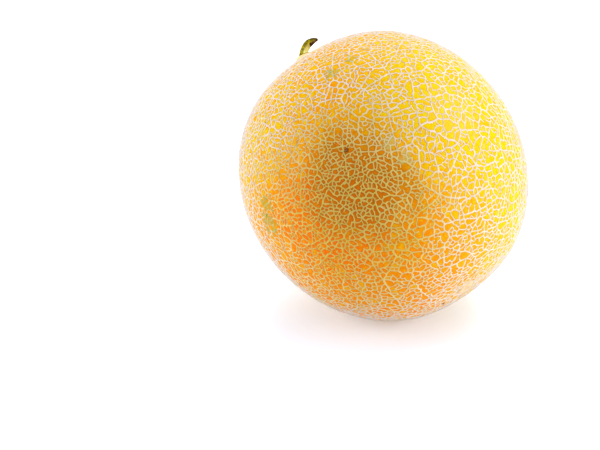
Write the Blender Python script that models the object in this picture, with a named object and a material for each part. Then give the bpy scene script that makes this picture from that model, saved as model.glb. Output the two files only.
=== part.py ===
"""Galia melon with the stub of its stem, lying on the ground on a small flat spot.

The stem end points up, back and to the left, and the blossom end down, forward and to
the right. Metres, +Z up. The origin is in the middle of the flat spot. Two pieces: the
melon, with its raised net, and the stem.
"""

import math
import random

import bmesh
import bpy
from mathutils import Vector

# The fruit, over the tops of its net, before its two ends are flattened
LENGTH = 0.151
WIDTH = 0.1412
AXIS = Vector((-0.661, 0.446, 0.603)).normalized()
STEM_END = Vector((-0.556, 0.444, 0.703)).normalized()
BLOSSOM_END = Vector((0.575, -0.570, -0.584)).normalized()
STEM_FLATTENING = 0.0039
STEM_FLAT_REACH = 0.464
BLOSSOM_FLATTENING = 0.0036
BLOSSOM_FLAT_REACH = 0.34
SWELL = 0.00025
SWELL_WAVES = ((3.1, 1.0), (3.7, -0.6), (2.9, 2.2))
FLAT_SPOT_DEPTH = 0.0019

# The net: raised cords round cells, a little larger than life
SEED = 11
CELL_PITCH = 0.0126
CELL_JITTER = 0.30
LARGEST_CELL = 128e-6
CELL_SPREAD = 0.25
CELL_LEEWAY = 1.15
END_MARGIN = 0.55
RUNG_TURN = 0.22
SHORTEST_CORD = 0.0014
NET_HEIGHT = 0.0013
RUNG_HEIGHT = 0.0011
CORD_WIDTH = 0.0024
RUNG_WIDTH = 0.0019
LONGEST_MITRE = 2.2
WAVE = 0.0003

# The smooth collar that the stem grows from, and the scar at the blossom end
COLLAR_SIDES = 14
COLLAR_RADIUS = 0.0082
COLLAR_FOOT = 0.0070
COLLAR_SHOULDER = 0.0050
COLLAR_TOP = 0.0036
COLLAR_RISE = 0.0011
SHOULDER_RISE = 0.0002
COLLAR_SLANT = math.radians(13)
SCAR_SIDES = 10
SCAR_RADIUS = 0.0062
SCAR_FOOT = 0.0050
SCAR_TOP = 0.0030
SCAR_RISE = 0.0003
DIMPLE_RADIUS = 0.0010
DIMPLE_DEPTH = 0.0006

# The stem: a ridged stub that leans over to the right and ends in a slanting cut
GAP = 0.0003
STEM_LENGTH = 0.0113
STEM_RINGS = 20
STEM_SIDES = 25
STEM_RIDGES = 5
RIDGE_DEPTH = 0.06
STEM_BASE_RADIUS = 0.0031
STEM_RADIUS = 0.0020
STEM_TIP_RADIUS = 0.0003
FLARE_LENGTH = 0.0022
TAPER_LENGTH = 0.0048
TAPER_BLUNTNESS = 0.6
LEAN_AT_NECK = math.radians(38)
LEAN_AT_TIP = math.radians(105)
CUT_START = 0.0040
CUT_HEIGHT = 0.0026
CUT_SLOPE = 0.30
CUT_TILT = -0.25

REACH_UPRIGHT = math.hypot(
    LENGTH / 2 * AXIS.z, WIDTH / 2 * math.sqrt(1 - AXIS.z ** 2)
)
# The lowest point of a leaning fruit isn't right under its middle
SHIFT = (LENGTH ** 2 - WIDTH ** 2) / 4 * AXIS.z / REACH_UPRIGHT
MIDDLE = Vector((AXIS.x * SHIFT, AXIS.y * SHIFT, REACH_UPRIGHT - FLAT_SPOT_DEPTH))
MEAN_RADIUS = (LENGTH + 2 * WIDTH) / 6
LEAN_TO = (Vector((1, 0, 0)) - STEM_END * STEM_END.x).normalized()
STEM_UP = STEM_END * math.cos(COLLAR_SLANT) + LEAN_TO * math.sin(COLLAR_SLANT)


def across(direction):
    """Two unit vectors that stand square to a direction and to each other."""
    first = direction.orthogonal().normalized()
    return first, direction.cross(first)


def bell(angle, reach):
    return math.exp(-((angle / reach) ** 2))


def surface_radius(direction):
    """How far the tops of the net lie from the middle of the fruit, in a direction."""
    along = direction.dot(AXIS)
    across_share = 1 - along ** 2
    radius = 1 / math.sqrt(
        (along / (LENGTH / 2)) ** 2 + across_share / (WIDTH / 2) ** 2
    )
    radius -= STEM_FLATTENING * bell(direction.angle(STEM_END), STEM_FLAT_REACH)
    radius -= BLOSSOM_FLATTENING * bell(
        direction.angle(BLOSSOM_END), BLOSSOM_FLAT_REACH
    )
    for coordinate, (rate, start) in zip(direction, SWELL_WAVES):
        radius += SWELL / 3 * math.sin(rate * coordinate + start)
    return radius


def surface_point(direction, sunk=0.0):
    """A point this far below the tops of the net, held up by the ground."""
    point = MIDDLE + direction * (surface_radius(direction) - sunk)
    point.z = max(point.z, 0.0)
    return point


def ring_of_directions(pole, angle, count):
    first, second = across(pole)
    ring = []
    for i in range(count):
        turn = math.tau * i / count
        side = first * math.cos(turn) + second * math.sin(turn)
        ring.append(pole * math.cos(angle) + side * math.sin(angle))
    return ring


def seed_directions(chance):
    """One direction for each large cell: a jittered spiral, and a ring round each end."""
    ends = (
        (STEM_END, 2 * COLLAR_RADIUS / MEAN_RADIUS, COLLAR_SIDES),
        (BLOSSOM_END, 2 * SCAR_RADIUS / MEAN_RADIUS, SCAR_SIDES),
    )
    seeds = []
    for pole, angle, count in ends:
        seeds.append(pole)
        seeds.extend(ring_of_directions(pole, angle, count))
    pitch = CELL_PITCH / MEAN_RADIUS
    count = round(4 * math.pi / (pitch ** 2 * math.sqrt(3) / 2))
    golden_turn = math.pi * (3 - math.sqrt(5))
    for i in range(count):
        z = 1 - (2 * i + 1) / count
        flat = math.sqrt(1 - z * z)
        turn = golden_turn * i
        direction = Vector((flat * math.cos(turn), flat * math.sin(turn), z))
        for side in across(direction):
            direction = direction + side * chance.gauss(0, CELL_JITTER * pitch)
        direction.normalize()
        if all(direction.angle(p) > a + END_MARGIN * pitch for p, a, _ in ends):
            seeds.append(direction)
    return seeds


def cells_round(seeds):
    """A closed net of cells on a ball, one round each seed, each side midway between two."""
    hull = bmesh.new()
    for seed in seeds:
        hull.verts.new(seed)
    bmesh.ops.convex_hull(hull, input=hull.verts)
    hull.normal_update()
    hull.verts.index_update()
    hull.faces.index_update()
    net = bmesh.new()
    corners = []
    for face in hull.faces:
        outward = face.normal if face.normal.dot(face.calc_center_median()) > 0 else -face.normal
        corners.append(net.verts.new(outward))
    for vert in hull.verts:
        pole = vert.co.normalized()
        first, second = across(pole)
        ring = sorted(
            (math.atan2(corners[f.index].co.dot(second), corners[f.index].co.dot(first)), f.index)
            for f in vert.link_faces
        )
        net.faces.new([corners[index] for _, index in ring])
    hull.free()
    shortest = SHORTEST_CORD / MEAN_RADIUS
    bmesh.ops.collapse(net, edges=[edge for edge in net.edges if edge.calc_length() < shortest])
    for vert in net.verts:
        vert.co.normalize()
    net.normal_update()
    return net


def long_way(cell, chance):
    """The direction in which a cell is longest, turned a little by chance."""
    middle = cell.calc_center_median()
    first, second = across(middle.normalized())
    xx = xy = yy = 0.0
    for vert in cell.verts:
        x = (vert.co - middle).dot(first)
        y = (vert.co - middle).dot(second)
        xx += x * x
        xy += x * y
        yy += y * y
    turn = 0.5 * math.atan2(2 * xy, xx - yy) + chance.gauss(0, RUNG_TURN)
    return middle, first * math.cos(turn) + second * math.sin(turn)


def rung_end(edge, middle, way):
    """Where a rung meets a side of its cell: at a corner if one is near, or else between."""
    start, end = edge.verts
    before = (start.co - middle).dot(way)
    after = (end.co - middle).dot(way)
    share = before / (before - after)
    nearest = SHORTEST_CORD / MEAN_RADIUS / edge.calc_length()
    if share < nearest or nearest > 0.45:
        return start if share < 0.5 else end
    if share > 1 - nearest:
        return end
    corner = bmesh.utils.edge_split(edge, start, share)[1]
    corner.co.normalize()
    return corner


def split_cell(cell, level, chance):
    """Grows one rung across a cell, square to its long way. Returns the two cells."""
    middle, way = long_way(cell, chance)
    crossed = [
        edge for edge in cell.edges
        if (edge.verts[0].co - middle).dot(way) * (edge.verts[1].co - middle).dot(way) < 0
    ]
    if len(crossed) != 2:
        return []
    ends = [rung_end(edge, middle, way) for edge in crossed]
    joined = any(edge.other_vert(ends[0]) == ends[1] for edge in ends[0].link_edges)
    if ends[0] == ends[1] or joined:
        return []
    other, loop = bmesh.utils.face_split(cell, ends[0], ends[1])
    loop.edge[level] = 1
    return [cell, other]


def grow_net(chance):
    """The whole net on a ball. Its edges are cords, marked 1 where they are thin rungs."""
    net = cells_round(seed_directions(chance))
    level = net.edges.layers.int.new("rung")
    end_cells = {cell_at(net, STEM_END), cell_at(net, BLOSSOM_END)}
    waiting = [cell for cell in net.faces if cell not in end_cells]
    while waiting:
        cell = waiting.pop()
        largest = LARGEST_CELL / MEAN_RADIUS ** 2 * math.exp(chance.gauss(0, CELL_SPREAD))
        halves = []
        while cell.calc_area() > largest and not halves:
            halves = split_cell(cell, level, chance)
            largest *= CELL_LEEWAY
        waiting.extend(halves)
    held = {vert for cell in end_cells for vert in cell.verts}
    for vert in net.verts:
        if vert not in held:
            for side in across(vert.co):
                vert.co += side * chance.uniform(-1, 1) * WAVE / MEAN_RADIUS
        vert.co.normalize()
    return net, level


def cell_at(net, direction):
    return max(net.faces, key=lambda cell: cell.calc_center_median().normalized().dot(direction))


def toe_of(loop, level, middle):
    """The direction of the foot of the cords at one corner of a cell, inside it."""
    sizes = []
    inward = []
    for side in (loop.link_loop_prev, loop):
        start = side.vert.co
        end = side.link_loop_next.vert.co
        width = RUNG_WIDTH if side.edge[level] else CORD_WIDTH
        sizes.append(width / 2 / MEAN_RADIUS)
        inward.append(loop.vert.co.cross(end - start).normalized())
    likeness = inward[0].dot(inward[1])
    if likeness > 0.9:
        step = (inward[0] + inward[1]) * sum(sizes) / 4
    else:
        square = 1 - likeness ** 2
        step = inward[0] * (sizes[0] - likeness * sizes[1]) / square
        step += inward[1] * (sizes[1] - likeness * sizes[0]) / square
    longest = min(LONGEST_MITRE * max(sizes), (middle - loop.vert.co).length / 2)
    if step.length > longest:
        step *= longest / step.length
    return (loop.vert.co + step).normalized()


def add_rings(mesh, rim, pole, profile):
    """Closes a round cell with flat rings, each a radius, a depth below the net and a facing."""
    first, second = across(pole)
    level = surface_radius(pole)
    offsets = [vert.co - MIDDLE for vert in rim]
    turns = [math.atan2(offset.dot(second), offset.dot(first)) for offset in offsets]
    for radius, sunk, facing in profile:
        centre = MIDDLE + pole * (level - sunk)
        ring = []
        for turn in turns:
            side = first * math.cos(turn) + second * math.sin(turn)
            side -= pole * (side.dot(facing) / pole.dot(facing))
            ring.append(mesh.verts.new(centre + side * radius))
        for i, vert in enumerate(ring):
            mesh.faces.new((rim[i - 1], rim[i], vert, ring[i - 1]))
        rim = ring
    mesh.faces.new(rim)


def melon_mesh():
    """The fruit: each cell has a sloping ring down from its cords and a low floor."""
    net, level = grow_net(random.Random(SEED))
    collar_cell = cell_at(net, STEM_END)
    scar_cell = cell_at(net, BLOSSOM_END)
    mesh = bmesh.new()
    crest = {}
    for vert in net.verts:
        thin = all(edge[level] for edge in vert.link_edges)
        crest[vert] = mesh.verts.new(
            surface_point(vert.co, NET_HEIGHT - RUNG_HEIGHT if thin else 0.0)
        )
    for cell in net.faces:
        if cell in (collar_cell, scar_cell):
            continue
        middle = cell.calc_center_median()
        tops = [crest[loop.vert] for loop in cell.loops]
        toes = [
            mesh.verts.new(surface_point(toe_of(loop, level, middle), NET_HEIGHT))
            for loop in cell.loops
        ]
        for i, toe in enumerate(toes):
            mesh.faces.new((tops[i - 1], tops[i], toe, toes[i - 1]))
        mesh.faces.new(toes)
    collar = (
        (COLLAR_FOOT, NET_HEIGHT, STEM_END),
        (COLLAR_SHOULDER, -SHOULDER_RISE, (STEM_END + STEM_UP).normalized()),
        (COLLAR_TOP, -COLLAR_RISE, STEM_UP),
    )
    add_rings(mesh, [crest[vert] for vert in collar_cell.verts], STEM_END, collar)
    scar = (
        (SCAR_FOOT, NET_HEIGHT, BLOSSOM_END),
        (SCAR_TOP, -SCAR_RISE, BLOSSOM_END),
        (DIMPLE_RADIUS, DIMPLE_DEPTH, BLOSSOM_END),
    )
    add_rings(mesh, [crest[vert] for vert in scar_cell.verts], BLOSSOM_END, scar)
    net.free()
    bmesh.ops.triangulate(mesh, faces=mesh.faces)
    return mesh


def stem_radius(distance):
    """Half the stem's thickness at a distance along it: flared at its foot, thin at its tip."""
    if distance < FLARE_LENGTH:
        share = (1 - distance / FLARE_LENGTH) ** 2
        return STEM_RADIUS + (STEM_BASE_RADIUS - STEM_RADIUS) * share
    left = (STEM_LENGTH - distance) / TAPER_LENGTH
    if left > 1:
        return STEM_RADIUS
    return STEM_TIP_RADIUS + (STEM_RADIUS - STEM_TIP_RADIUS) * left ** TAPER_BLUNTNESS


def stem_lean(distance):
    """How far the stem has turned over at a distance along it: fast at its foot, then slower."""
    if distance < FLARE_LENGTH:
        return LEAN_AT_NECK * distance / FLARE_LENGTH
    share = (distance - FLARE_LENGTH) / (STEM_LENGTH - FLARE_LENGTH)
    return LEAN_AT_NECK + (LEAN_AT_TIP - LEAN_AT_NECK) * share


def stem_mesh():
    """Ridged rings along a line that leans over to the right, cut flat below its tip."""
    onward = (LEAN_TO - STEM_UP * LEAN_TO.dot(STEM_UP)).normalized()
    side = STEM_UP.cross(onward)
    foot = MIDDLE + STEM_END * (surface_radius(STEM_END) + COLLAR_RISE) + STEM_UP * GAP
    mesh = bmesh.new()
    rings = []
    height = reach = 0.0
    step = STEM_LENGTH / STEM_RINGS
    for k in range(STEM_RINGS + 1):
        lean = stem_lean(k * step)
        radius = stem_radius(k * step)
        ring = []
        for i in range(STEM_SIDES):
            turn = math.tau * i / STEM_SIDES
            ridged = radius * (1 + RIDGE_DEPTH * math.cos(STEM_RIDGES * turn))
            out = ridged * math.cos(turn)
            aside = ridged * math.sin(turn)
            rise = height - out * math.sin(lean)
            forth = reach + out * math.cos(lean)
            if forth > CUT_START:
                cut = CUT_HEIGHT + CUT_SLOPE * (forth - CUT_START) + CUT_TILT * aside
                rise = max(rise, cut)
            ring.append(mesh.verts.new(foot + STEM_UP * rise + onward * forth + side * aside))
        rings.append(ring)
        middle_lean = stem_lean((k + 0.5) * step)
        height += step * math.cos(middle_lean)
        reach += step * math.sin(middle_lean)
    for lower, upper in zip(rings, rings[1:]):
        for i in range(STEM_SIDES):
            mesh.faces.new((lower[i - 1], lower[i], upper[i], upper[i - 1]))
    mesh.faces.new(reversed(rings[0]))
    mesh.faces.new(rings[-1])
    bmesh.ops.triangulate(mesh, faces=mesh.faces)
    return mesh


def finish_of(name, colour, roughness):
    material = bpy.data.materials.new(name)
    material.use_nodes = True
    shader = material.node_tree.nodes["Principled BSDF"]
    shader.inputs["Base Color"].default_value = (*colour, 1)
    shader.inputs["Roughness"].default_value = roughness
    shader.inputs["Metallic"].default_value = 0.0
    return material


def add_piece(name, mesh, material):
    """Turns a finished mesh into an object of its own, with its edges shaded by angle."""
    bmesh.ops.recalc_face_normals(mesh, faces=mesh.faces)
    data = bpy.data.meshes.new(name)
    mesh.to_mesh(data)
    mesh.free()
    data.materials.append(material)
    data.shade_smooth()
    data.set_sharp_from_angle(angle=math.radians(25))
    piece = bpy.data.objects.new(name, data)
    bpy.context.scene.collection.objects.link(piece)
    return piece


for old in list(bpy.data.objects):
    bpy.data.objects.remove(old, do_unlink=True)
add_piece("melon", melon_mesh(), finish_of("netted rind", (0.90, 0.56, 0.14), 0.55))
add_piece("stem", stem_mesh(), finish_of("dry stem", (0.30, 0.29, 0.07), 0.75))
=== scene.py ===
import math
import random

import bmesh
import bpy
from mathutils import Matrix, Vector


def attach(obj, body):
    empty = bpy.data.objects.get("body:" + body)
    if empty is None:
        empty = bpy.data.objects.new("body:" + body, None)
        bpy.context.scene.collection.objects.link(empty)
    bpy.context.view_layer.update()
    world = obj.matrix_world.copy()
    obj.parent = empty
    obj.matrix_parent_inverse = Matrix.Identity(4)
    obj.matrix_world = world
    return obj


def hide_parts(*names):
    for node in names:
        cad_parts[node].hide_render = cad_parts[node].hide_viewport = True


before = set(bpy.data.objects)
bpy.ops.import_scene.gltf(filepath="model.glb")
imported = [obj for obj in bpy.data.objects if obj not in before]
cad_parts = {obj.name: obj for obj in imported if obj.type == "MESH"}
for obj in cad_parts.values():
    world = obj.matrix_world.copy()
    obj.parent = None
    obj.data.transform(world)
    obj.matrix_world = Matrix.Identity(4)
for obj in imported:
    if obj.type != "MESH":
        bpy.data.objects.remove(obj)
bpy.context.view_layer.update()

# The rind: a thin, waxy, golden skin round the whole fruit, with the net standing up from it.
# The fruit is nearly a ball, a little longer from the stem to the blossom scar and flattened
# at both. It lies with its stem end up, back and to the left, on a small flat spot.

# Its form, in metres, as in the solids. The surface here is the tops of the net.
LENGTH = 0.151
WIDTH = 0.1412
AXIS = Vector((-0.661, 0.446, 0.603)).normalized()
STEM_END = Vector((-0.556, 0.444, 0.703)).normalized()
BLOSSOM_END = Vector((0.575, -0.570, -0.584)).normalized()
STEM_FLATTENING = 0.0039
STEM_FLAT_REACH = 0.464
BLOSSOM_FLATTENING = 0.0036
BLOSSOM_FLAT_REACH = 0.34
SWELL = 0.00025
SWELL_WAVES = ((3.1, 1.0), (3.7, -0.6), (2.9, 2.2))
FLAT_SPOT_DEPTH = 0.0019
SQUASH = 0.35
REACH_UPRIGHT = math.hypot(
    LENGTH / 2 * AXIS.z, WIDTH / 2 * math.sqrt(1 - AXIS.z ** 2)
)
SHIFT = (LENGTH ** 2 - WIDTH ** 2) / 4 * AXIS.z / REACH_UPRIGHT
MIDDLE = Vector((AXIS.x * SHIFT, AXIS.y * SHIFT, REACH_UPRIGHT - FLAT_SPOT_DEPTH))
MEAN_RADIUS = (LENGTH + 2 * WIDTH) / 6

# The finer net reaches out a little more than the solid's, so all of it is drawn in by a hair
TRIM = 0.00015
HEIGHT_TRIM = 0.9985


def across(direction):
    """Two unit vectors that stand square to a direction and to each other."""
    first = direction.orthogonal().normalized()
    return first, direction.cross(first)


def bell(angle, reach):
    return math.exp(-((angle / reach) ** 2))


def surface_radius(direction):
    """How far the tops of the net lie from the middle of the fruit, in a direction."""
    along = direction.dot(AXIS)
    radius = 1 / math.sqrt(
        (along / (LENGTH / 2)) ** 2 + (1 - along ** 2) / (WIDTH / 2) ** 2
    )
    radius -= STEM_FLATTENING * bell(direction.angle(STEM_END), STEM_FLAT_REACH)
    radius -= BLOSSOM_FLATTENING * bell(direction.angle(BLOSSOM_END), BLOSSOM_FLAT_REACH)
    for coordinate, (rate, start) in zip(direction, SWELL_WAVES):
        radius += SWELL / 3 * math.sin(rate * coordinate + start)
    return radius


def surface_point(direction, sunk=0.0):
    """A point this far below the tops of the net. What would lie in the ground is squashed."""
    point = MIDDLE + direction * (surface_radius(direction) - sunk - TRIM)
    point.z = HEIGHT_TRIM * max(point.z, SQUASH * sunk)
    return point


# How the net grows: the rind cracks into large cells, each cell cracks again and again, and
# cork fills the cracks. The large cells and their first rungs are those of the solid. Cords
# have a grade: 0 round a large cell, 1 for the first rungs, and one more for each crack after.
# Areas are in square metres, and turns and reaches in radians.
SEED = 11
CELL_PITCH = 0.0126
CELL_JITTER = 0.30
LARGEST_CELL = 128e-6
CELL_SPREAD = 0.25
CELL_LEEWAY = 1.15
END_MARGIN = 0.55
RUNG_TURN = 0.22
SHORTEST_CORD = 0.0014
TOO_SHORT_TO_SPLIT = 0.45
COLLAR_SIDES = 14
COLLAR_RADIUS = 0.0082
SCAR_SIDES = 10
SCAR_RADIUS = 0.0062
FINE_SEED = 5
FIRST_FINE_GRADE = 2
FINE_CELL = 11.8e-6
STEM_CELL = 9.4e-6
STEM_REACH = 1.1
# Larger cells on one side, where the rind also has its painted sheen
OPEN_CELL = 19e-6
SHEEN_AND_OPEN_SIDE = Vector((0.479, -0.497, 0.724))
OPEN_REACH = 0.5
DENSE_CELL = 7.3e-6
DENSE_SIDE = Vector((-0.200, -0.925, 0.325)).normalized()
DENSE_REACH = 0.64
FINE_SPREAD = 0.32
FINE_TURN = 0.42
FINEST_CORD = 0.00045
LONG_CORD = 0.0019
BOW = 0.12
GAP_SHARE = 0.18
GAP_CORD = 0.7 * LONG_CORD
GAP_POINTS = (0.42, 0.5)


def ring_of_directions(pole, angle, count):
    first, second = across(pole)
    ring = []
    for i in range(count):
        turn = math.tau * i / count
        side = first * math.cos(turn) + second * math.sin(turn)
        ring.append(pole * math.cos(angle) + side * math.sin(angle))
    return ring


def seed_directions(chance):
    """One direction for each large cell: a jittered spiral, and a ring round each end."""
    ends = (
        (STEM_END, 2 * COLLAR_RADIUS / MEAN_RADIUS, COLLAR_SIDES),
        (BLOSSOM_END, 2 * SCAR_RADIUS / MEAN_RADIUS, SCAR_SIDES),
    )
    seeds = []
    for pole, angle, count in ends:
        seeds.append(pole)
        seeds.extend(ring_of_directions(pole, angle, count))
    pitch = CELL_PITCH / MEAN_RADIUS
    count = round(4 * math.pi / (pitch ** 2 * math.sqrt(3) / 2))
    golden_turn = math.pi * (3 - math.sqrt(5))
    for i in range(count):
        z = 1 - (2 * i + 1) / count
        flat = math.sqrt(1 - z * z)
        turn = golden_turn * i
        direction = Vector((flat * math.cos(turn), flat * math.sin(turn), z))
        for side in across(direction):
            direction = direction + side * chance.gauss(0, CELL_JITTER * pitch)
        direction.normalize()
        if all(direction.angle(p) > a + END_MARGIN * pitch for p, a, _ in ends):
            seeds.append(direction)
    return seeds


def cells_round(seeds):
    """A closed net of cells on a ball, one round each seed, each side midway between two."""
    hull = bmesh.new()
    for seed in seeds:
        hull.verts.new(seed)
    bmesh.ops.convex_hull(hull, input=hull.verts)
    hull.normal_update()
    hull.verts.index_update()
    hull.faces.index_update()
    cells = bmesh.new()
    corners = []
    for face in hull.faces:
        outward = face.normal if face.normal.dot(face.calc_center_median()) > 0 else -face.normal
        corners.append(cells.verts.new(outward))
    for vert in hull.verts:
        first, second = across(vert.co.normalized())
        ring = sorted(
            (math.atan2(corners[f.index].co.dot(second), corners[f.index].co.dot(first)), f.index)
            for f in vert.link_faces
        )
        cells.faces.new([corners[index] for _, index in ring])
    hull.free()
    shortest = SHORTEST_CORD / MEAN_RADIUS
    bmesh.ops.collapse(cells, edges=[edge for edge in cells.edges if edge.calc_length() < shortest])
    for vert in cells.verts:
        vert.co.normalize()
    cells.normal_update()
    return cells


def cell_at(direction):
    return max(net.faces, key=lambda cell: cell.calc_center_median().normalized().dot(direction))


def rung_end(edge, middle, way, shortest):
    """Where a rung meets a side of its cell: at a corner if one is near, or else between."""
    start, end = edge.verts
    before = (start.co - middle).dot(way)
    after = (end.co - middle).dot(way)
    share = before / (before - after)
    nearest = shortest / MEAN_RADIUS / edge.calc_length()
    if share < nearest or nearest > TOO_SHORT_TO_SPLIT:
        return start if share < 0.5 else end
    if share > 1 - nearest:
        return end
    corner = bmesh.utils.edge_split(edge, start, share)[1]
    corner.co.normalize()
    return corner


def split_cell(cell, grade_of_rung, turn_by, shortest, chance):
    """Grows one rung across a cell, about square to its long way. Returns the two cells."""
    middle = cell.calc_center_median()
    first, second = across(middle.normalized())
    xx = xy = yy = 0.0
    for vert in cell.verts:
        x = (vert.co - middle).dot(first)
        y = (vert.co - middle).dot(second)
        xx += x * x
        xy += x * y
        yy += y * y
    turn = 0.5 * math.atan2(2 * xy, xx - yy) + chance.gauss(0, turn_by)
    way = first * math.cos(turn) + second * math.sin(turn)
    crossed = [
        edge for edge in cell.edges
        if (edge.verts[0].co - middle).dot(way) * (edge.verts[1].co - middle).dot(way) < 0
    ]
    if len(crossed) != 2:
        return []
    ends = [rung_end(edge, middle, way, shortest) for edge in crossed]
    joined = any(edge.other_vert(ends[0]) == ends[1] for edge in ends[0].link_edges)
    if ends[0] == ends[1] or joined:
        return []
    other, loop = bmesh.utils.face_split(cell, ends[0], ends[1])
    loop.edge[grade] = grade_of_rung
    return [cell, other]


# The large cells and their first rungs
chance = random.Random(SEED)
net = cells_round(seed_directions(chance))
grade = net.edges.layers.int.new("grade")
end_cells = {cell_at(STEM_END), cell_at(BLOSSOM_END)}
waiting = [cell for cell in net.faces if cell not in end_cells]
while waiting:
    cell = waiting.pop()
    largest = LARGEST_CELL / MEAN_RADIUS ** 2 * math.exp(chance.gauss(0, CELL_SPREAD))
    halves = []
    while cell.calc_area() > largest and not halves:
        halves = split_cell(cell, 1, RUNG_TURN, SHORTEST_CORD, chance)
        largest *= CELL_LEEWAY
    waiting.extend(halves)

# The finer cords inside them: closer near the stem and on one side, further apart on another
chance = random.Random(FINE_SEED)
waiting = [(cell, FIRST_FINE_GRADE) for cell in net.faces if cell not in end_cells]
while waiting:
    cell, depth = waiting.pop()
    middle = cell.calc_center_median()
    largest = FINE_CELL - (FINE_CELL - STEM_CELL) * bell(middle.angle(STEM_END), STEM_REACH)
    largest += (OPEN_CELL - FINE_CELL) * bell(middle.angle(SHEEN_AND_OPEN_SIDE), OPEN_REACH)
    largest -= (FINE_CELL - DENSE_CELL) * bell(middle.angle(DENSE_SIDE), DENSE_REACH)
    largest *= math.exp(chance.gauss(0, FINE_SPREAD)) / MEAN_RADIUS ** 2
    halves = []
    while cell.calc_area() > largest and not halves:
        halves = split_cell(cell, depth, FINE_TURN, FINEST_CORD, chance)
        largest *= CELL_LEEWAY
    waiting.extend((half, depth + 1) for half in halves)

# Each cord pulls on its ends, a thick one harder, which makes the corners as round as grown ones
PULLS = (1.6, 1.3, 1.1, 1.0)
ROUNDS = 2
EASE = 0.30
held = {vert for cell in end_cells for vert in cell.verts}
for _ in range(ROUNDS):
    for vert in net.verts:
        if vert not in held:
            drawn = Vector()
            total = 0.0
            for edge in vert.link_edges:
                pull = PULLS[min(edge[grade], len(PULLS) - 1)]
                drawn += edge.other_vert(vert).co * pull
                total += pull
            vert.co = vert.co.lerp(drawn / total, EASE)
            vert.co.normalize()

# Long cords bow to one side, and some fine ones have a gap in the middle. fade is 1 there.
fade = net.verts.layers.float.new("fade")
for edge in list(net.edges):
    length = edge.calc_length()
    depth = edge[grade]
    start, end = edge.verts
    side = start.co.cross(end.co).normalized()
    can_break = depth > FIRST_FINE_GRADE and length * MEAN_RADIUS > GAP_CORD
    if can_break and chance.random() < GAP_SHARE:
        for share in GAP_POINTS:
            edge, middle = bmesh.utils.edge_split(edge, start, share)
            middle.co += side * chance.gauss(0, BOW * length)
            middle.co.normalize()
            middle[fade] = 1.0
            start = middle
            edge = next(e for e in middle.link_edges if e.other_vert(middle) == end)
    elif length * MEAN_RADIUS > LONG_CORD:
        middle = bmesh.utils.edge_split(edge, start, 0.5)[1]
        middle.co += side * chance.gauss(0, BOW * length)
        middle.co.normalize()

# How deep things lie below the tops of the net, and how wide the cords are, grade by grade
CORD_SUNK = (0.0, 0.00002, 0.00004, 0.00006, 0.00008)
CORD_HALF_WIDTH = (0.00054, 0.00048, 0.00042, 0.00038, 0.00036)
CORD_LUMPS = 0.00007
TOE_SUNK = 0.00044
RIND_SUNK = 0.00038
DOME_SUNK = 0.00029
FOOT_WIDTH = 0.00030
STOUTNESS_SPREAD = 0.20
SLIMMEST = 0.70
STOUTEST = 1.6
THINNING_AT_GAP = 0.9
NEARLY_STRAIGHT = 0.9
LONGEST_MITRE = 2.2
CLOSEST_TO_MIDDLE = 0.6
DRAW_IN_TRIES = 4
DRAW_IN = 0.75
chance = random.Random(FINE_SEED + 1)
stout = {
    vert: min(max(chance.gauss(1.0, STOUTNESS_SPREAD), SLIMMEST), STOUTEST) for vert in net.verts
}
lump = {vert: chance.uniform(0, CORD_LUMPS) for vert in net.verts}
net.verts.index_update()


def finest(depth):
    return min(depth, len(CORD_SUNK) - 1)


def toe_of(loop, middle, most, beyond=0.0):
    """The direction of the foot of the cords at one corner of a cell, inside it, or beyond."""
    corner = loop.vert
    scale = stout[corner] * (1 - THINNING_AT_GAP * corner[fade]) / MEAN_RADIUS
    sizes = []
    inward = []
    for side in (loop.link_loop_prev, loop):
        start = side.vert.co
        end = side.link_loop_next.vert.co
        size = CORD_HALF_WIDTH[finest(side.edge[grade])] * scale + beyond / MEAN_RADIUS
        sizes.append(min(size, most))
        inward.append(corner.co.cross(end - start).normalized())
    likeness = inward[0].dot(inward[1])
    if likeness > NEARLY_STRAIGHT:
        step = (inward[0] + inward[1]) * sum(sizes) / 4
    else:
        square = 1 - likeness ** 2
        step = inward[0] * (sizes[0] - likeness * sizes[1]) / square
        step += inward[1] * (sizes[1] - likeness * sizes[0]) / square
    longest = min(LONGEST_MITRE * max(sizes), (middle - corner.co).length * CLOSEST_TO_MIDDLE)
    if step.length > longest:
        step *= longest / step.length
    return (corner.co + step).normalized()


def lies_open(corners, feet, peak):
    """Whether the strips between a cell's corners and its feet face outward, unfolded."""
    for i in range(len(corners)):
        start, end = corners[i - 1].vert.co, corners[i].vert.co
        across_strip = feet[i] - start
        if (end - start).cross(across_strip).dot(peak) <= 0:
            return False
        if across_strip.cross(feet[i - 1] - start).dot(peak) <= 0:
            return False
    return True


def feet_of(cell, corners, share, beyond=0.0):
    """The feet of the cords all round a cell, drawn in where a strip would fold over. They
    take this share of the cell's room at most."""
    middle = cell.calc_center_median()
    room = share * cell.calc_area() / sum(edge.calc_length() for edge in cell.edges)
    widest = [toe_of(corner, middle, room, beyond) for corner in corners]
    feet = widest
    for _ in range(DRAW_IN_TRIES):
        if lies_open(corners, feet, middle.normalized()):
            return feet
        room *= DRAW_IN
        feet = [toe_of(corner, middle, room, beyond) for corner in corners]
    return widest


def corners_round(corner):
    """The loops of a corner's cells, in order round it."""
    first = corner.link_loops[0]
    loops = [first]
    loop = first.link_loop_prev.link_loop_radial_next
    while loop != first:
        loops.append(loop)
        loop = loop.link_loop_prev.link_loop_radial_next
    return loops


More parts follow.
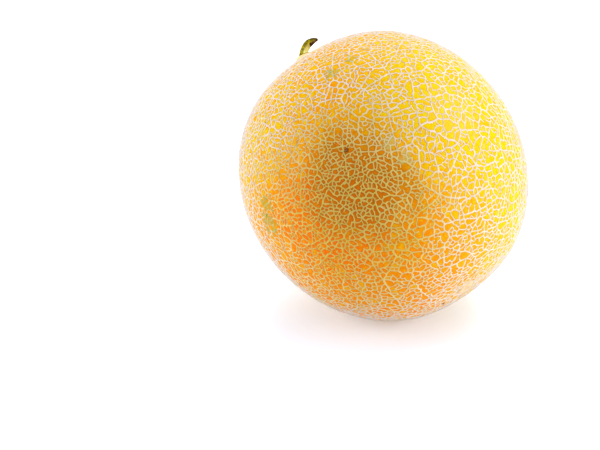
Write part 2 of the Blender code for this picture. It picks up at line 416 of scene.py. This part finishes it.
def add_mesh(name, points, faces, smooth_under, **marks):
    """A mesh object, smooth where its faces meet at less than an angle. Marks are numbers
    that it carries for each point. Points that no face uses are left out."""
    used = sorted({index for face in faces for index in face})
    place_of = {index: place for place, index in enumerate(used)}
    data = bpy.data.meshes.new(name)
    data.from_pydata(
        [points[index] for index in used], [], [[place_of[index] for index in face] for face in faces]
    )
    for mark, values in marks.items():
        layer = data.attributes.new(mark, "FLOAT", "POINT")
        layer.data.foreach_set("value", [values[index] for index in used])
    data.shade_smooth()
    data.set_sharp_from_angle(angle=math.radians(smooth_under))
    piece = bpy.data.objects.new(name, data)
    bpy.context.scene.collection.objects.link(piece)
    return piece


CHART_MARGIN = 0.08
UNDERSIDE_SHRINK = 16
UNDERSIDE_SHIFT = 0.02


def add_bake_map(piece):
    """Six square charts, one for each side of a cube round the fruit. Faces that look inward
    never show, and share a small place in the margin."""
    data = piece.data
    layer = data.uv_layers.new(name="OFBake")
    for face in data.polygons:
        way = face.center - MIDDLE
        axis = max(range(3), key=lambda i: abs(way[i]))
        chart = axis * 2 + (way[axis] > 0)
        inward = face.normal.dot(way) < 0
        for loop in face.loop_indices:
            at = data.vertices[data.loops[loop].vertex_index].co - MIDDLE
            u = math.atan2(at[(axis + 1) % 3], abs(at[axis])) / math.pi * 2 + 0.5
            v = math.atan2(at[(axis + 2) % 3], abs(at[axis])) / math.pi * 2 + 0.5
            u = CHART_MARGIN / 2 + u * (1 - CHART_MARGIN)
            v = CHART_MARGIN / 2 + v * (1 - CHART_MARGIN)
            if inward:
                u = u / UNDERSIDE_SHRINK - UNDERSIDE_SHIFT
                v = v / UNDERSIDE_SHRINK - UNDERSIDE_SHIFT
            layer.data[loop].uv = ((chart % 3 + u) / 3, (chart // 3 + v) / 2)


class Wire:
    """The output of a shader node. Sums and products written on it add their own nodes."""

    def __init__(self, socket):
        self.socket = socket

    def node(self, kind, settings, inputs, output=0):
        """Any other node of the same material: its settings, and what its sockets hold."""
        tree = self.socket.id_data
        made = tree.nodes.new("ShaderNode" + kind)
        for name, value in settings.items():
            setattr(made, name, value)
        for name, value in inputs.items():
            if isinstance(value, Wire):
                tree.links.new(value.socket, made.inputs[name])
            else:
                made.inputs[name].default_value = value
        return Wire(made.outputs[output])

    def maths(self, operation, first, second):
        return self.node("Math", {"operation": operation}, {0: first, 1: second})

    def __add__(self, other):
        return self.maths("ADD", self, other)

    def __sub__(self, other):
        return self.maths("SUBTRACT", self, other)

    def __rsub__(self, other):
        return self.maths("SUBTRACT", other, self)

    def __mul__(self, other):
        return self.maths("MULTIPLY", self, other)

    __radd__ = __add__
    __rmul__ = __mul__

    def between(self, low, high):
        """0 below low, 1 above high, and a smooth climb between them."""
        inputs = {"Value": self, "From Min": low, "From Max": high}
        return self.node("MapRange", {"interpolation_type": "SMOOTHSTEP"}, inputs)

    def mix(self, without, whole):
        """One colour where this is 0, and another where it is 1."""
        return self.node("Mix", {"data_type": "RGBA"}, {0: self, 6: without, 7: whole}, 2)

    def noise(self, scale, detail=2.0, roughness=0.5):
        """Cloudy noise at a place, from 0 to 1, with this many features to the metre."""
        inputs = {"Vector": self, "Scale": scale, "Detail": detail, "Roughness": roughness}
        return self.node("TexNoise", {}, inputs)

    def moved(self, offset):
        return self.node("VectorMath", {"operation": "ADD"}, {0: self, 1: offset})

    def unit(self):
        return self.node("VectorMath", {"operation": "NORMALIZE"}, {0: self})

    def dot(self, direction):
        return self.node("VectorMath", {"operation": "DOT_PRODUCT"}, {0: self, 1: direction}, 1)

    def attribute(self, name):
        """A number that the mesh carries."""
        return self.node("Attribute", {"attribute_name": name}, {}, 2)

    def bump(self, strength, distance):
        return self.node("Bump", {}, {"Height": self, "Strength": strength, "Distance": distance})


def start_finish(piece, name, **plain):
    """A new material on a piece, with the values that are the same all over. Returns its
    shader and the place on the surface."""
    material = bpy.data.materials.new(name)
    material.use_nodes = True
    piece.data.materials.append(material)
    shader = material.node_tree.nodes["Principled BSDF"]
    for socket, value in plain.items():
        shader.inputs[socket.replace("_", " ")].default_value = value
    place = Wire(material.node_tree.nodes.new("ShaderNodeTexCoord").outputs["Object"])
    return shader, place


def feed(shader, **sockets):
    """Links what varies over a surface to a shader's sockets."""
    for socket, wire in sockets.items():
        shader.id_data.links.new(wire.socket, shader.inputs[socket.replace("_", " ")])


# The rind's own surface swells a little in each cell, between the cords. At the stem it rises
# to a smooth collar, and at the other end it holds the blossom's scar. Each ring of these is a
# radius, a depth below the net and how far it leans to the stem's own way.
COLLAR_ROUGHNESS = 0.00003
COLLAR_RINGS = (
    (0.0076, 0.00066, 0.0),
    (0.0071, 0.00045, 0.0),
    (0.0063, 0.00008, 0.3),
    (0.0054, -0.00020, 0.6),
    (0.0047, -0.00052, 0.8),
    (0.0041, -0.00090, 1.0),
    (0.0035, -0.00108, 1.0),
    (0.0020, -0.00110, 1.0),
)
SCAR_ROUGHNESS = 0.00008
SCAR_RINGS = (
    (0.0056, 0.00062, 0.0),
    (0.0050, 0.00052, 0.0),
    (0.0043, 0.00020, 0.0),
    (0.0036, -0.00010, 0.0),
    (0.0029, -0.00026, 0.0),
    (0.0021, -0.00010, 0.0),
    (0.0014, 0.00040, 0.0),
    (0.0007, 0.00060, 0.0),
)
COLLAR_SLANT = math.radians(13)
LEAN_TO = (Vector((1, 0, 0)) - STEM_END * STEM_END.x).normalized()
STEM_UP = STEM_END * math.cos(COLLAR_SLANT) + LEAN_TO * math.sin(COLLAR_SLANT)
WIDE_CELL = 0.0032
MOST_SWELL = 1.5
SWELL_AT_FEET = 0.6
RIND_ROOM = 1.3
RIND_SMOOTH_UNDER = 60

# Numbers that the rind's mesh carries: beside is 1 under a cord, 0 at its foot and less than
# that inside a cell, and each cell has a tone of its own
INSIDE_CELL = -0.5
ON_RING = 0.5
RING_TONE = 0.5
points = [surface_point(vert.co, RIND_SUNK) for vert in net.verts]
beside = [1 - vert[fade] for vert in net.verts]
smooth = [0.0] * len(points)
scarred = [0.0] * len(points)
faces = []
tone = []
chance = random.Random(FINE_SEED + 2)


def add_point(place, beside_cord, on_collar=0.0, on_scar=0.0):
    points.append(place)
    beside.append(beside_cord)
    smooth.append(on_collar)
    scarred.append(on_scar)
    return len(points) - 1


def close_with_rings(cell, pole, lean_to, rings, roughness, is_collar):
    """Closes the rind over one of the two end cells with rings, each inside the one before."""
    first, second = across(pole)
    rim = [vert.index for vert in cell.verts]
    offsets = [points[index] - MIDDLE for index in rim]
    turns = [math.atan2(offset.dot(second), offset.dot(first)) for offset in offsets]
    level = surface_radius(pole)
    for radius, sunk, lean in rings:
        facing = pole.lerp(lean_to, lean).normalized()
        ring = []
        for turn in turns:
            side = first * math.cos(turn) + second * math.sin(turn)
            side -= pole * (side.dot(facing) / pole.dot(facing))
            wobble = chance.gauss(0, roughness)
            place = MIDDLE + pole * (level - sunk + wobble) + side * (radius + 2 * wobble)
            ring.append(add_point(place, ON_RING, float(is_collar), float(not is_collar)))
        for i, index in enumerate(ring):
            faces.append((rim[i - 1], rim[i], index, ring[i - 1]))
            tone.append(RING_TONE)
        rim = ring
    faces.append(rim)
    tone.append(RING_TONE)


for cell in net.faces:
    if cell in end_cells:
        continue
    width = math.sqrt(cell.calc_area()) * MEAN_RADIUS
    rise = (RIND_SUNK - DOME_SUNK) * min(width / WIDE_CELL, MOST_SWELL)
    own_tone = chance.random()
    loops = [loop for loop in cell.loops if len(loop.vert.link_edges) > 2 or loop.vert[fade] > 0]
    rim = [loop.vert.index for loop in loops]
    ring = [
        add_point(surface_point(foot, RIND_SUNK - rise * SWELL_AT_FEET), 0.0)
        for foot in feet_of(cell, loops, RIND_ROOM, FOOT_WIDTH)
    ]
    peak = cell.calc_center_median().normalized()
    top = add_point(surface_point(peak, RIND_SUNK - rise), INSIDE_CELL)
    for i in range(len(rim)):
        faces.append((rim[i - 1], rim[i], ring[i], ring[i - 1]))
        faces.append((ring[i - 1], ring[i], top))
        tone.extend((own_tone, own_tone))
close_with_rings(cell_at(STEM_END), STEM_END, STEM_UP, COLLAR_RINGS, COLLAR_ROUGHNESS, True)
close_with_rings(
    cell_at(BLOSSOM_END), BLOSSOM_END, BLOSSOM_END, SCAR_RINGS, SCAR_ROUGHNESS, False
)

marks = {"beside": beside, "smooth": smooth, "scarred": scarred}
rind = add_mesh("rind", points, faces, RIND_SMOOTH_UNDER, **marks)
rind.data.attributes.new("tone", "FLOAT", "FACE").data.foreach_set("value", tone)
add_bake_map(rind)

GOLD = (0.86, 0.465, 0.003, 1)
YELLOW = (0.82, 0.66, 0.006, 1)
ORANGE = (0.88, 0.33, 0.002, 1)
RED_ORANGE = (0.92, 0.22, 0.001, 1)
# The orange of painted shade
SHADE_ORANGE = (0.62, 0.21, 0.002, 1)
BROWN = (0.42, 0.15, 0.008, 1)
SPECKLE_AND_SHEEN = (0.88, 0.74, 0.24, 1)
CRUST_CREAM = (0.86, 0.66, 0.36, 1)
GREEN = (0.35, 0.42, 0.03, 1)
COLLAR_CREAM = (0.90, 0.70, 0.34, 1)
SCAR_BEIGE = (0.86, 0.66, 0.42, 1)
HEALED_TAN = (0.62, 0.54, 0.24, 1)
BRUISE_RED = (0.22, 0.035, 0.004, 1)
SUNNY_SIDE = Vector((0.90, -0.08, 0.42)).normalized()
RIPE_SIDE = Vector((-0.203, -0.945, -0.254)).normalized()
REDDEST_SIDE = Vector((-0.360, -0.930, 0.030)).normalized()
LEFT_SIDE = Vector((-0.92, -0.10, 0.45)).normalized()
# Painted shade is centred on this side
SHADED_SIDE = Vector((-0.155, -0.920, 0.362)).normalized()
STEM_SIDE = (STEM_END + Vector((0.10, -0.05, 0.0))).normalized()
GREEN_PLACES = (
    ((-0.215, -0.200, 0.955), 0.050),
    ((-0.360, -0.300, 0.885), 0.060),
    ((-0.793, -0.607, 0.042), 0.070),
    ((-0.775, -0.620, -0.100), 0.090),
)
HEALED_PLACES = (
    ((0.040, -0.790, 0.612), 0.055),
    ((0.145, -0.838, 0.526), 0.060),
)
BRUISE_PLACES = (
    ((-0.249, -0.797, 0.551), 0.020),
    ((0.590, -0.605, -0.535), 0.016),
    ((0.430, -0.578, -0.693), 0.016),
)

# How fine each kind of noise is, in features to the metre, how ragged the edges of the marks
# are, and how far in from its edge a mark is whole
CLOUDS = 45
RAGGED = 260
WAX = 400
MARK_EDGES = 420
GRAIN = 900
SCRATCHES = 1500
SPECKLES = 1900
PORES = 2200
FLECKS = 2600
GREEN_RAGGEDNESS = 7
HEALED_RAGGEDNESS = 4
BRUISE_RAGGEDNESS = 5
WHOLE_FROM = 0.7


def near_places(outward, places, ragged):
    """1 at the middles of some round places on the fruit, 0 beyond their reach, in radians."""
    whole = 0.0
    for direction, reach in places:
        nearness = outward.dot(Vector(direction).normalized())
        edge = math.cos(reach)
        room = 1 - edge
        whole = whole + (nearness + ragged * room).between(edge, edge + WHOLE_FROM * room)
    return whole


# Golden, yellow on the sunny side and at the left, and orange low down, where it is ripest
shader, place = start_finish(
    rind, "golden rind", Specular_IOR_Level=0.06, Coat_Roughness=0.35
)
outward = place.moved(-MIDDLE).unit()
clouds = place.noise(CLOUDS, 3) * 0.5 - 0.25
sunny = outward.dot(SUNNY_SIDE) + clouds
ripe = outward.dot(RIPE_SIDE) + clouds
sunlit = sunny.between(-0.10, 0.75)
colour = sunlit.mix(GOLD, YELLOW)
colour = ripe.between(0.30, 1.00).mix(colour, ORANGE)
left = (outward.dot(LEFT_SIDE) + clouds * 0.4).between(0.70, 1.05)
colour = (left * 0.85).mix(colour, YELLOW)
reddest = (outward.dot(REDDEST_SIDE) + clouds * 0.3).between(0.85, 0.98)
colour = reddest.mix(colour, RED_ORANGE)

# Each cell has its own tone, and all of them have grain, speckles and brown flecks
tones = place.attribute("tone")
colour = (tones.between(0.60, 1.0) * (0.40 - sunlit * 0.22)).mix(colour, ORANGE)
colour = (tones.between(0.40, 0.0) * 0.35).mix(colour, YELLOW)
grain = place.moved((1, 3, 2)).noise(GRAIN, 3, 0.6)
colour = (grain.between(0.50, 0.62) * (0.7 - sunlit * 0.4)).mix(colour, ORANGE)
colour = (grain.between(0.48, 0.34) * 0.5).mix(colour, YELLOW)
speckles = place.noise(SPECKLES, 3, 0.6)
colour = (speckles.between(0.56, 0.74) * 0.15).mix(colour, SPECKLE_AND_SHEEN)
flecks = place.moved((3, 1, 2)).noise(FLECKS, 2)
colour = (flecks.between(0.55, 0.75) * 0.5).mix(colour, BROWN)

# Still green in a few places; painted shade on the front, a little to the left, and painted shade in
# the creases beside the cords
green_edges = (place.noise(MARK_EDGES, 4) - 0.5) * GREEN_RAGGEDNESS
green = near_places(outward, GREEN_PLACES, green_edges)
colour = (green * 0.3).mix(colour, GREEN)
near = place.attribute("beside")
# Painted shade: darker orange, with brown mottling in it
painted_shade = (outward.dot(SHADED_SIDE) + clouds * 0.3).between(0.875, 1.0)
colour = (painted_shade * 0.75).mix(colour, SHADE_ORANGE)
colour = (grain.between(0.54, 0.68) * painted_shade * 0.3).mix(colour, BROWN)
# Painted shade in the crease at the cords' feet, deepest on the shaded side
colour = (near.between(-0.15, 0.30) * (0.06 + painted_shade * 0.75)).mix(colour, BROWN)
colour = (near.between(0.05, 0.45) * 0.45).mix(colour, SHADE_ORANGE)

# A thin crust at the cords' feet, a painted sheen as a pale patch on the upper right, healed
# scratches and small bruises
crust = (near + speckles * 0.5 - 0.25).between(0.36, 0.46)
colour = (crust * 0.8).mix(colour, CRUST_CREAM)
# A painted sheen: a pale patch where a highlight falls
painted_sheen = outward.dot(SHEEN_AND_OPEN_SIDE).between(0.965, 1.0)
colour = (painted_sheen * 0.22).mix(colour, SPECKLE_AND_SHEEN)
healed_edges = (place.noise(RAGGED, 3) - 0.5) * HEALED_RAGGEDNESS
healed = near_places(outward, HEALED_PLACES, healed_edges)
scratches = place.noise(SCRATCHES, 3).between(0.40, 0.60)
colour = (healed * (0.25 + scratches * 0.6)).mix(colour, HEALED_TAN)
bruised = near_places(outward, BRUISE_PLACES, (speckles - 0.5) * BRUISE_RAGGEDNESS)
colour = (bruised * 0.8).mix(colour, BRUISE_RED)

# Cream round the stem and on the collar, and beige on the blossom's scar
by_stem = (outward.dot(STEM_SIDE) + clouds * 0.04).between(0.962, 0.988)
colour = (by_stem * 0.75).mix(colour, COLLAR_CREAM)
colour = place.attribute("smooth").between(0.2, 0.8).mix(colour, COLLAR_CREAM)
scar_tone = (grain.between(0.45, 0.65) * 0.25).mix(SCAR_BEIGE, BROWN)
colour = place.attribute("scarred").between(0.2, 0.8).mix(colour, scar_tone)
pores = place.noise(PORES, 3)
feed(
    shader,
    Base_Color=colour,
    Roughness=0.34 + place.noise(WAX, 2) * 0.22,
    Coat_Weight=0.04 - near * 0.03,
    Normal=pores.bump(0.35, 0.0002),
)
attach(rind, "root")
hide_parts("melon")

# The net: cords of pale, dry cork that has grown out of the cracks in the rind and stands
# up from it. Each cord is a ridge with its feet just under the rind, closed underneath. The
# main cords are one piece and the fine ones between them another, closed where they meet.
GAP_SUNK = 0.00046
GAP_TOE_DROP = 0.00006
CORD_ROOM = 0.8
CORD_SMOOTH_UNDER = 96
points = []
for vert in net.verts:
    sunk = CORD_SUNK[finest(min(edge[grade] for edge in vert.link_edges))] + lump[vert]
    sunk += vert[fade] * (GAP_SUNK - sunk)
    points.append(surface_point(vert.co, sunk))
tops = [1 - vert[fade] for vert in net.verts]
toes = {}
for cell in net.faces:
    corners = list(cell.loops)
    for loop, foot in zip(corners, feet_of(cell, corners, CORD_ROOM)):
        toes[loop] = len(points)
        points.append(surface_point(foot, TOE_SUNK + GAP_TOE_DROP * loop.vert[fade]))
        tops.append(0.0)

# Each cord has two slopes and an underside, and a fine one an end where it meets a main one
main_faces = []
fine_faces = []
main_cords = [edge for edge in net.edges if edge[grade] < FIRST_FINE_GRADE]
main_corners = {vert for edge in main_cords for vert in edge.verts}
for edge in net.edges:
    is_fine = edge[grade] >= FIRST_FINE_GRADE
    faces = fine_faces if is_fine else main_faces
    sides = tuple(edge.link_loops)
    for loop in sides:
        after = loop.link_loop_next
        faces.append((loop.vert.index, after.vert.index, toes[after], toes[loop]))
    faces.append([toes[end] for loop in sides for end in (loop, loop.link_loop_next)])
    for loop, other in (sides, reversed(sides)):
        if is_fine and loop.vert in main_corners:
            end = (loop.vert.index, toes[loop], toes[other.link_loop_next])
            fine_faces.append(end)
            main_faces.append(end[::-1])
for vert in net.verts:
    if len(vert.link_loops) > 2:
        faces = main_faces if vert in main_corners else fine_faces
        faces.append([toes[loop] for loop in reversed(corners_round(vert))])

CORK_PALE = (0.89, 0.78, 0.72, 1)
CORK_SHADE_TAN = (0.90, 0.64, 0.12, 1)
CORK_BUFF = (0.80, 0.60, 0.36, 1)
CORK_OLIVE = (0.70, 0.61, 0.20, 1)
CORK_SHADE = (0.44, 0.34, 0.045, 1)
# The side where the cords take a warm tan of painted shade
TINTED_SHADE_SIDE = Vector((-0.257, -0.965, 0.055)).normalized()
CORK_GRIT = 1500
CORK_PATCHES = 90
BUFF_PATCHES = 160
for name, faces in (("main_net", main_faces), ("fine_net", fine_faces)):
    cords = add_mesh(name, points, faces, CORD_SMOOTH_UNDER, high=tops)
    add_bake_map(cords)

    # Pale, with painted shade: tan on the lower front side and olive on the shaded side; and patchy
    # all over
    shader, place = start_finish(cords, name.replace("_net", " cork"), Specular_IOR_Level=0.15)
    grit = place.noise(CORK_GRIT, 4, 0.65)
    outward = place.moved(-MIDDLE).unit()
    clouds = place.noise(CLOUDS, 3) * 0.3 - 0.15
    # Painted shade with a warm tint on the lower front side
    tinted_shade = outward.dot(TINTED_SHADE_SIDE) + clouds
    colour = tinted_shade.between(0.58, 1.05).mix(CORK_PALE, CORK_SHADE_TAN)
    # Painted shade: olive cords on the shaded side
    painted_shade = (outward.dot(SHADED_SIDE) + clouds).between(0.80, 1.0)
    colour = (painted_shade * 0.60).mix(colour, CORK_OLIVE)
    colour = (place.noise(GRAIN, 3).between(0.48, 0.66) * 0.25).mix(colour, CORK_OLIVE)
    colour = (place.noise(CORK_PATCHES, 3).between(0.45, 0.75) * 0.20).mix(colour, CORK_OLIVE)
    buff = place.moved((2, 3, 1)).noise(BUFF_PATCHES, 3).between(0.45, 0.75)
    colour = (buff * 0.20).mix(colour, CORK_BUFF)

    # Darker low on its sides, with painted shade there on the shaded side, paler at the left and by
    # the stem, and marked where the rind is
    high = place.attribute("high")
    worn_high = high + grit * 0.5
    colour = (0.6 - worn_high.between(-0.10, 0.40) * 0.6).mix(colour, CORK_BUFF)
    # Painted shade low on the cord's sides, on the shaded side only
    low = 1.0 - worn_high.between(0.0, 0.55)
    colour = (low * painted_shade * 0.75).mix(colour, CORK_SHADE)
    left = outward.dot(LEFT_SIDE).between(0.85, 1.0)
    colour = (left * 0.5).mix(colour, CORK_PALE)
    by_stem = outward.dot(STEM_SIDE).between(0.962, 0.988)
    colour = (by_stem * 0.7).mix(colour, COLLAR_CREAM)
    green_edges = (place.noise(MARK_EDGES, 4) - 0.5) * GREEN_RAGGEDNESS
    green = near_places(outward, GREEN_PLACES, green_edges)
    colour = (green * 0.45).mix(colour, GREEN)
    bruised = near_places(outward, BRUISE_PLACES, (grit - 0.5) * BRUISE_RAGGEDNESS)
    colour = (bruised * 0.7).mix(colour, BRUISE_RED)
    rounded_ridge = high.between(0.0, 0.65) - high
    feed(
        shader,
        Base_Color=colour,
        Roughness=0.72 + grit * 0.2,
        Normal=(rounded_ridge + grit * 0.4).bump(0.6, 0.0004),
    )
    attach(cords, "root")
    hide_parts("melon")

# The stem: the stub of a juicy stalk that has dried, ridged, with fine wavy fibres. It grows
# out of the collar, leans over to the right, and ends in the slanting cut that took the fruit.
GAP = 0.0003
COLLAR_RISE = 0.0011
STEM_LENGTH = 0.0113
STEM_RINGS = 60
STEM_SIDES = 80
STEM_RIDGES = 5
RIDGE_HEIGHT = 0.06
STEM_FIBRES = 23
FIBRE_HEIGHT = 0.012
FIBRE_WAVE = 2
FIBRE_WAVE_RATE = 400
STEM_BASE_RADIUS = 0.0031
STEM_RADIUS = 0.0020
STEM_TIP_RADIUS = 0.0003
FLARE_LENGTH = 0.0022
TAPER_LENGTH = 0.0048
TAPER_BLUNTNESS = 0.6
LEAN_AT_NECK = math.radians(38)
LEAN_AT_TIP = math.radians(105)
CUT_START = 0.0040
CUT_HEIGHT = 0.0026
CUT_SLOPE = 0.30
CUT_TILT = -0.25
CUT_STAIN = 0.0011
HIGHLIGHT_TURN = 0.7
SHADE_BEHIND = 0.7
STEM_SMOOTH_UNDER = 50


def stem_radius(distance):
    if distance < FLARE_LENGTH:
        share = (1 - distance / FLARE_LENGTH) ** 2
        return STEM_RADIUS + (STEM_BASE_RADIUS - STEM_RADIUS) * share
    to_tip = (STEM_LENGTH - distance) / TAPER_LENGTH
    if to_tip > 1:
        return STEM_RADIUS
    return STEM_TIP_RADIUS + (STEM_RADIUS - STEM_TIP_RADIUS) * to_tip ** TAPER_BLUNTNESS


def stem_lean(distance):
    if distance < FLARE_LENGTH:
        return LEAN_AT_NECK * distance / FLARE_LENGTH
    share = (distance - FLARE_LENGTH) / (STEM_LENGTH - FLARE_LENGTH)
    return LEAN_AT_NECK + (LEAN_AT_TIP - LEAN_AT_NECK) * share


onward = (LEAN_TO - STEM_UP * LEAN_TO.dot(STEM_UP)).normalized()
stem_side = STEM_UP.cross(onward)
foot = MIDDLE + STEM_END * (surface_radius(STEM_END) + COLLAR_RISE) + STEM_UP * GAP
points = []
cut_mark = []
highlight_mark = []
dark_tip_and_shade_mark = []
height = reach = 0.0
step = STEM_LENGTH / STEM_RINGS
for k in range(STEM_RINGS + 1):
    distance = k * step
    lean = stem_lean(distance)
    for i in range(STEM_SIDES):
        turn = math.tau * i / STEM_SIDES
        ridge = RIDGE_HEIGHT * math.cos(STEM_RIDGES * turn)
        wave = FIBRE_WAVE * math.sin(FIBRE_WAVE_RATE * distance)
        fibre = FIBRE_HEIGHT * math.sin(STEM_FIBRES * turn + wave)
        ridged = stem_radius(distance) * (1 + ridge + fibre - FIBRE_HEIGHT)
        out = ridged * math.cos(turn)
        aside = ridged * math.sin(turn)
        rise = height - out * math.sin(lean)
        forth = reach + out * math.cos(lean)
        cut = 0.0
        if forth > CUT_START:
            floor_level = CUT_HEIGHT + CUT_SLOPE * (forth - CUT_START) + CUT_TILT * aside
            if aside < 0:
                cut = bell(max(rise - floor_level, 0.0), CUT_STAIN)
            if rise < floor_level:
                rise = floor_level
                cut = 1.0
        points.append(foot + STEM_UP * rise + onward * forth + stem_side * aside)
        cut_mark.append(cut)
        along = distance / STEM_LENGTH
        # pale is a painted highlight down the lit side, fading up the stem
        highlight_mark.append(max(0.0, math.cos(turn + HIGHLIGHT_TURN)) * (1 - along))
        # Darker towards the tip, and painted shade down the back side
        dark_tip_and_shade_mark.append(along + SHADE_BEHIND * max(0.0, -math.cos(turn)) ** 3)
    middle_lean = stem_lean(distance + step / 2)
    height += step * math.cos(middle_lean)
    reach += step * math.sin(middle_lean)
faces = []
for k in range(STEM_RINGS):
    for i in range(STEM_SIDES):
        before = (i - 1) % STEM_SIDES + k * STEM_SIDES
        at = i + k * STEM_SIDES
        faces.append((before, at, at + STEM_SIDES, before + STEM_SIDES))
faces.append(list(reversed(range(STEM_SIDES))))
faces.append(list(range(STEM_RINGS * STEM_SIDES, (STEM_RINGS + 1) * STEM_SIDES)))
marks = {"cut": cut_mark, "pale": highlight_mark, "dark_tip_and_shade": dark_tip_and_shade_mark}
stem = add_mesh("stem_stub", points, faces, STEM_SMOOTH_UNDER, **marks)

STEM_OLIVE = (0.25, 0.20, 0.008, 1)
STEM_GREEN = (0.64, 0.54, 0.015, 1)
STEM_HIGHLIGHT = (0.90, 0.84, 0.40, 1)
STEM_DARK = (0.11, 0.070, 0.004, 1)
CUT_BROWN = (0.085, 0.030, 0.004, 1)
CUT_PITH = (0.34, 0.23, 0.12, 1)
STALK_MOTTLE = 700
STALK_SPOTS = 1700
STALK_FIBRES = 2400
shader, place = start_finish(stem, "dry stalk", Specular_IOR_Level=0.3)
mottle = place.noise(STALK_MOTTLE, 3)
colour = mottle.between(0.35, 0.65).mix(STEM_OLIVE, STEM_GREEN)
# Painted highlight on the lit side
colour = place.attribute("pale").between(0.25, 0.75).mix(colour, STEM_HIGHLIGHT)
# Darker towards the tip, with painted shade down the back side
colour = (place.attribute("dark_tip_and_shade").between(0.55, 1.0) * 0.85).mix(colour, STEM_DARK)
spots = place.noise(STALK_SPOTS, 3, 0.6).between(0.55, 0.75)
colour = (spots * 0.6).mix(colour, STEM_DARK)
cut = place.attribute("cut")
wood = mottle.between(0.52, 0.62).mix(CUT_BROWN, CUT_PITH)
colour = cut.between(0.3, 0.7).mix(colour, wood)
feed(
    shader,
    Base_Color=colour,
    Roughness=0.60 + mottle * 0.3,
    Normal=place.noise(STALK_FIBRES, 3).bump(0.5, 0.0002),
)
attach(stem, "root")
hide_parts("stem")

# The studio: a white sheet that the fruit lies on and white surroundings, wide soft lights on
# both sides, above and behind, and the camera as high as someone who looks down at a table.
FLOOR_HALF = 1.2
AMBIENT = 0.64
BACKDROP = 1.1
PAPER_WHITE = (0.77, 0.83, 0.92, 1)
PAPER_GLOW = (0.91, 0.945, 1.05, 1)
ROOM_WHITE = (0.92, 0.97, 1.06, 1)
SOFTBOX_SIZE = 0.9
floor_mesh = bpy.data.meshes.new("floor")
floor_mesh.from_pydata(
    [(x * FLOOR_HALF, y * FLOOR_HALF, 0) for x, y in ((-1, -1), (1, -1), (1, 1), (-1, 1))],
    [],
    [(0, 1, 2, 3)],
)
floor = bpy.data.objects.new("floor", floor_mesh)
bpy.context.scene.collection.objects.link(floor)
start_finish(
    floor,
    "white sheet, lit from below",
    Base_Color=PAPER_WHITE,
    Roughness=0.8,
    Emission_Color=PAPER_GLOW,
    Emission_Strength=0.32,
)

world = bpy.data.worlds.new("studio")
world.use_nodes = True
background = world.node_tree.nodes["Background"]
background.inputs["Color"].default_value = ROOM_WHITE
seen = Wire(world.node_tree.nodes.new("ShaderNodeLightPath").outputs["Is Camera Ray"])
feed(background, Strength=AMBIENT + seen * (BACKDROP - AMBIENT))
bpy.context.scene.world = world


def add_softbox(name, place, power):
    """A wide square light that faces the fruit."""
    light = bpy.data.lights.new(name, "AREA")
    light.shape = "RECTANGLE"
    light.size = light.size_y = SOFTBOX_SIZE
    light.energy = power
    lamp = bpy.data.objects.new(name, light)
    lamp.location = place
    lamp.rotation_mode = "QUATERNION"
    lamp.rotation_quaternion = (MIDDLE - Vector(place)).to_track_quat("-Z", "Y")
    bpy.context.scene.collection.objects.link(lamp)


add_softbox("right softbox", (1.15, -0.42, 0.41), 8.3)
add_softbox("left softbox", (-1.25, 0.0, 0.41), 8.0)
add_softbox("top softbox", (0.3, 0.0, 1.3), 4.7)
add_softbox("back softbox", (0.0, 0.97, 0.94), 6.4)

ELEVATION = math.radians(25)
DISTANCE = 1.2
PIXELS_PER_METRE = 2000
PICTURE = (600, 450)
MIDDLE_PIXEL = (382.1, 173.5)
SENSOR_WIDTH = 36
back = Vector((0, -math.cos(ELEVATION), math.sin(ELEVATION)))
right = Vector((1, 0, 0))
up = back.cross(right)
eye = MIDDLE + back * DISTANCE
aim = MIDDLE - right * (MIDDLE_PIXEL[0] - PICTURE[0] / 2) / PIXELS_PER_METRE
aim += up * (MIDDLE_PIXEL[1] - PICTURE[1] / 2) / PIXELS_PER_METRE
camera_data = bpy.data.cameras.new("camera")
camera_data.sensor_width = SENSOR_WIDTH
camera_data.lens = (
    PIXELS_PER_METRE * DISTANCE * SENSOR_WIDTH / PICTURE[0]
    * math.cos((aim - eye).angle(MIDDLE - eye))
)
camera = bpy.data.objects.new("camera", camera_data)
camera.location = eye
camera.rotation_mode = "QUATERNION"
camera.rotation_quaternion = (aim - eye).to_track_quat("-Z", "Y")
bpy.context.scene.collection.objects.link(camera)
bpy.context.scene.camera = camera
bpy.context.scene.view_settings.view_transform = "Standard"
bpy.context.scene.view_settings.gamma = 0.72
